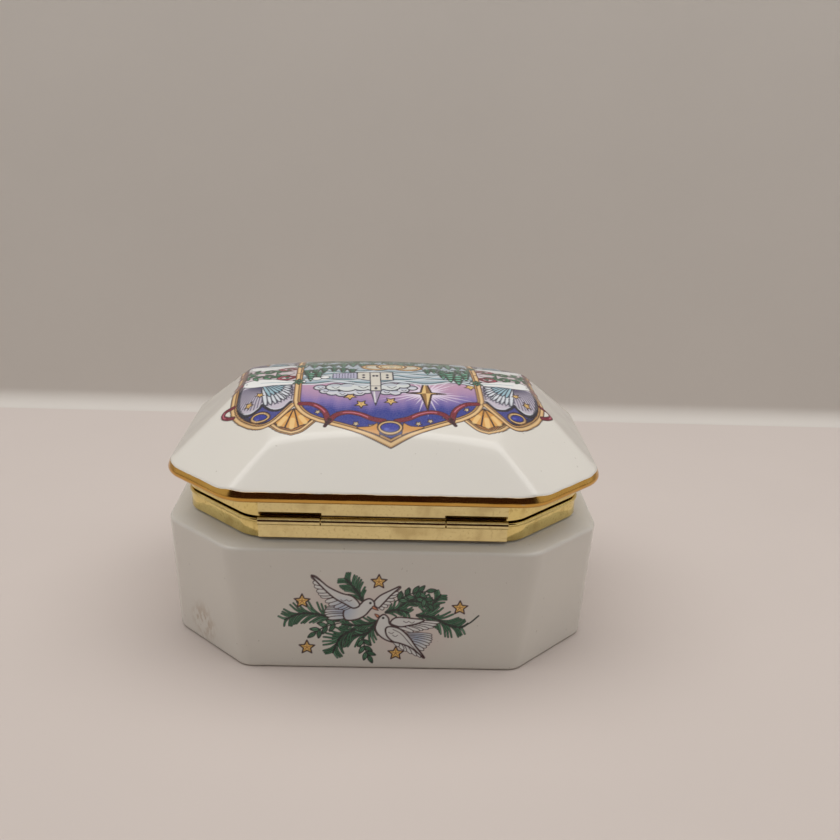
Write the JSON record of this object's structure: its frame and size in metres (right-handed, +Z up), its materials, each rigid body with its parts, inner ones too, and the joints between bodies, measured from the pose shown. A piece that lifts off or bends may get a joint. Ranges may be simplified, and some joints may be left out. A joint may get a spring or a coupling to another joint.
{
  "type": "hinged porcelain trinket box",
  "caption": "Octagonal porcelain trinket box with a faceted domed lid, brass collars, a piano hinge behind and a snap clasp in front.",
  "frame": {"origin": "on the resting plane, under the middle of the box's outline", "axes": "+X along the long side and along the hinge, +Y towards the hinge at the back, -Y towards the clasp in front, +Z up"},
  "size_m": [0.1096, 0.085, 0.066],
  "materials": {
    "porcelain": "glossy clear glaze over white porcelain",
    "decoration": "printed and fired enamel colours under a thin gloss",
    "gilding": "thin fired gold lustre",
    "collar_brass": "polished brass plate",
    "hinge_brass": "polished brass with fine wear",
    "pin_brass": "drawn brass wire",
    "clasp_brass": "polished stamped brass",
    "cement": "matte off-white cement"
  },
  "bodies": {
    "base": {"base_body": "porcelain", "lower_collar": "collar_brass", "lower_cement": "cement", "lower_hinge_leaf": "hinge_brass", "hinge_pin": "pin_brass", "clasp_catch": "clasp_brass"},
    "lid": {"lid_shell": "porcelain", "upper_collar": "collar_brass", "upper_cement": "cement", "upper_hinge_leaf": "hinge_brass", "clasp_tongue": "clasp_brass"}
  },
  "joints": [
    {"name": "lid_hinge", "type": "hinge", "parent": "base", "child": "lid", "pos_m": [0, 0.0383, 0.039], "axis": [-1, 0, 0], "range_deg": [0, 105]}
  ]
}
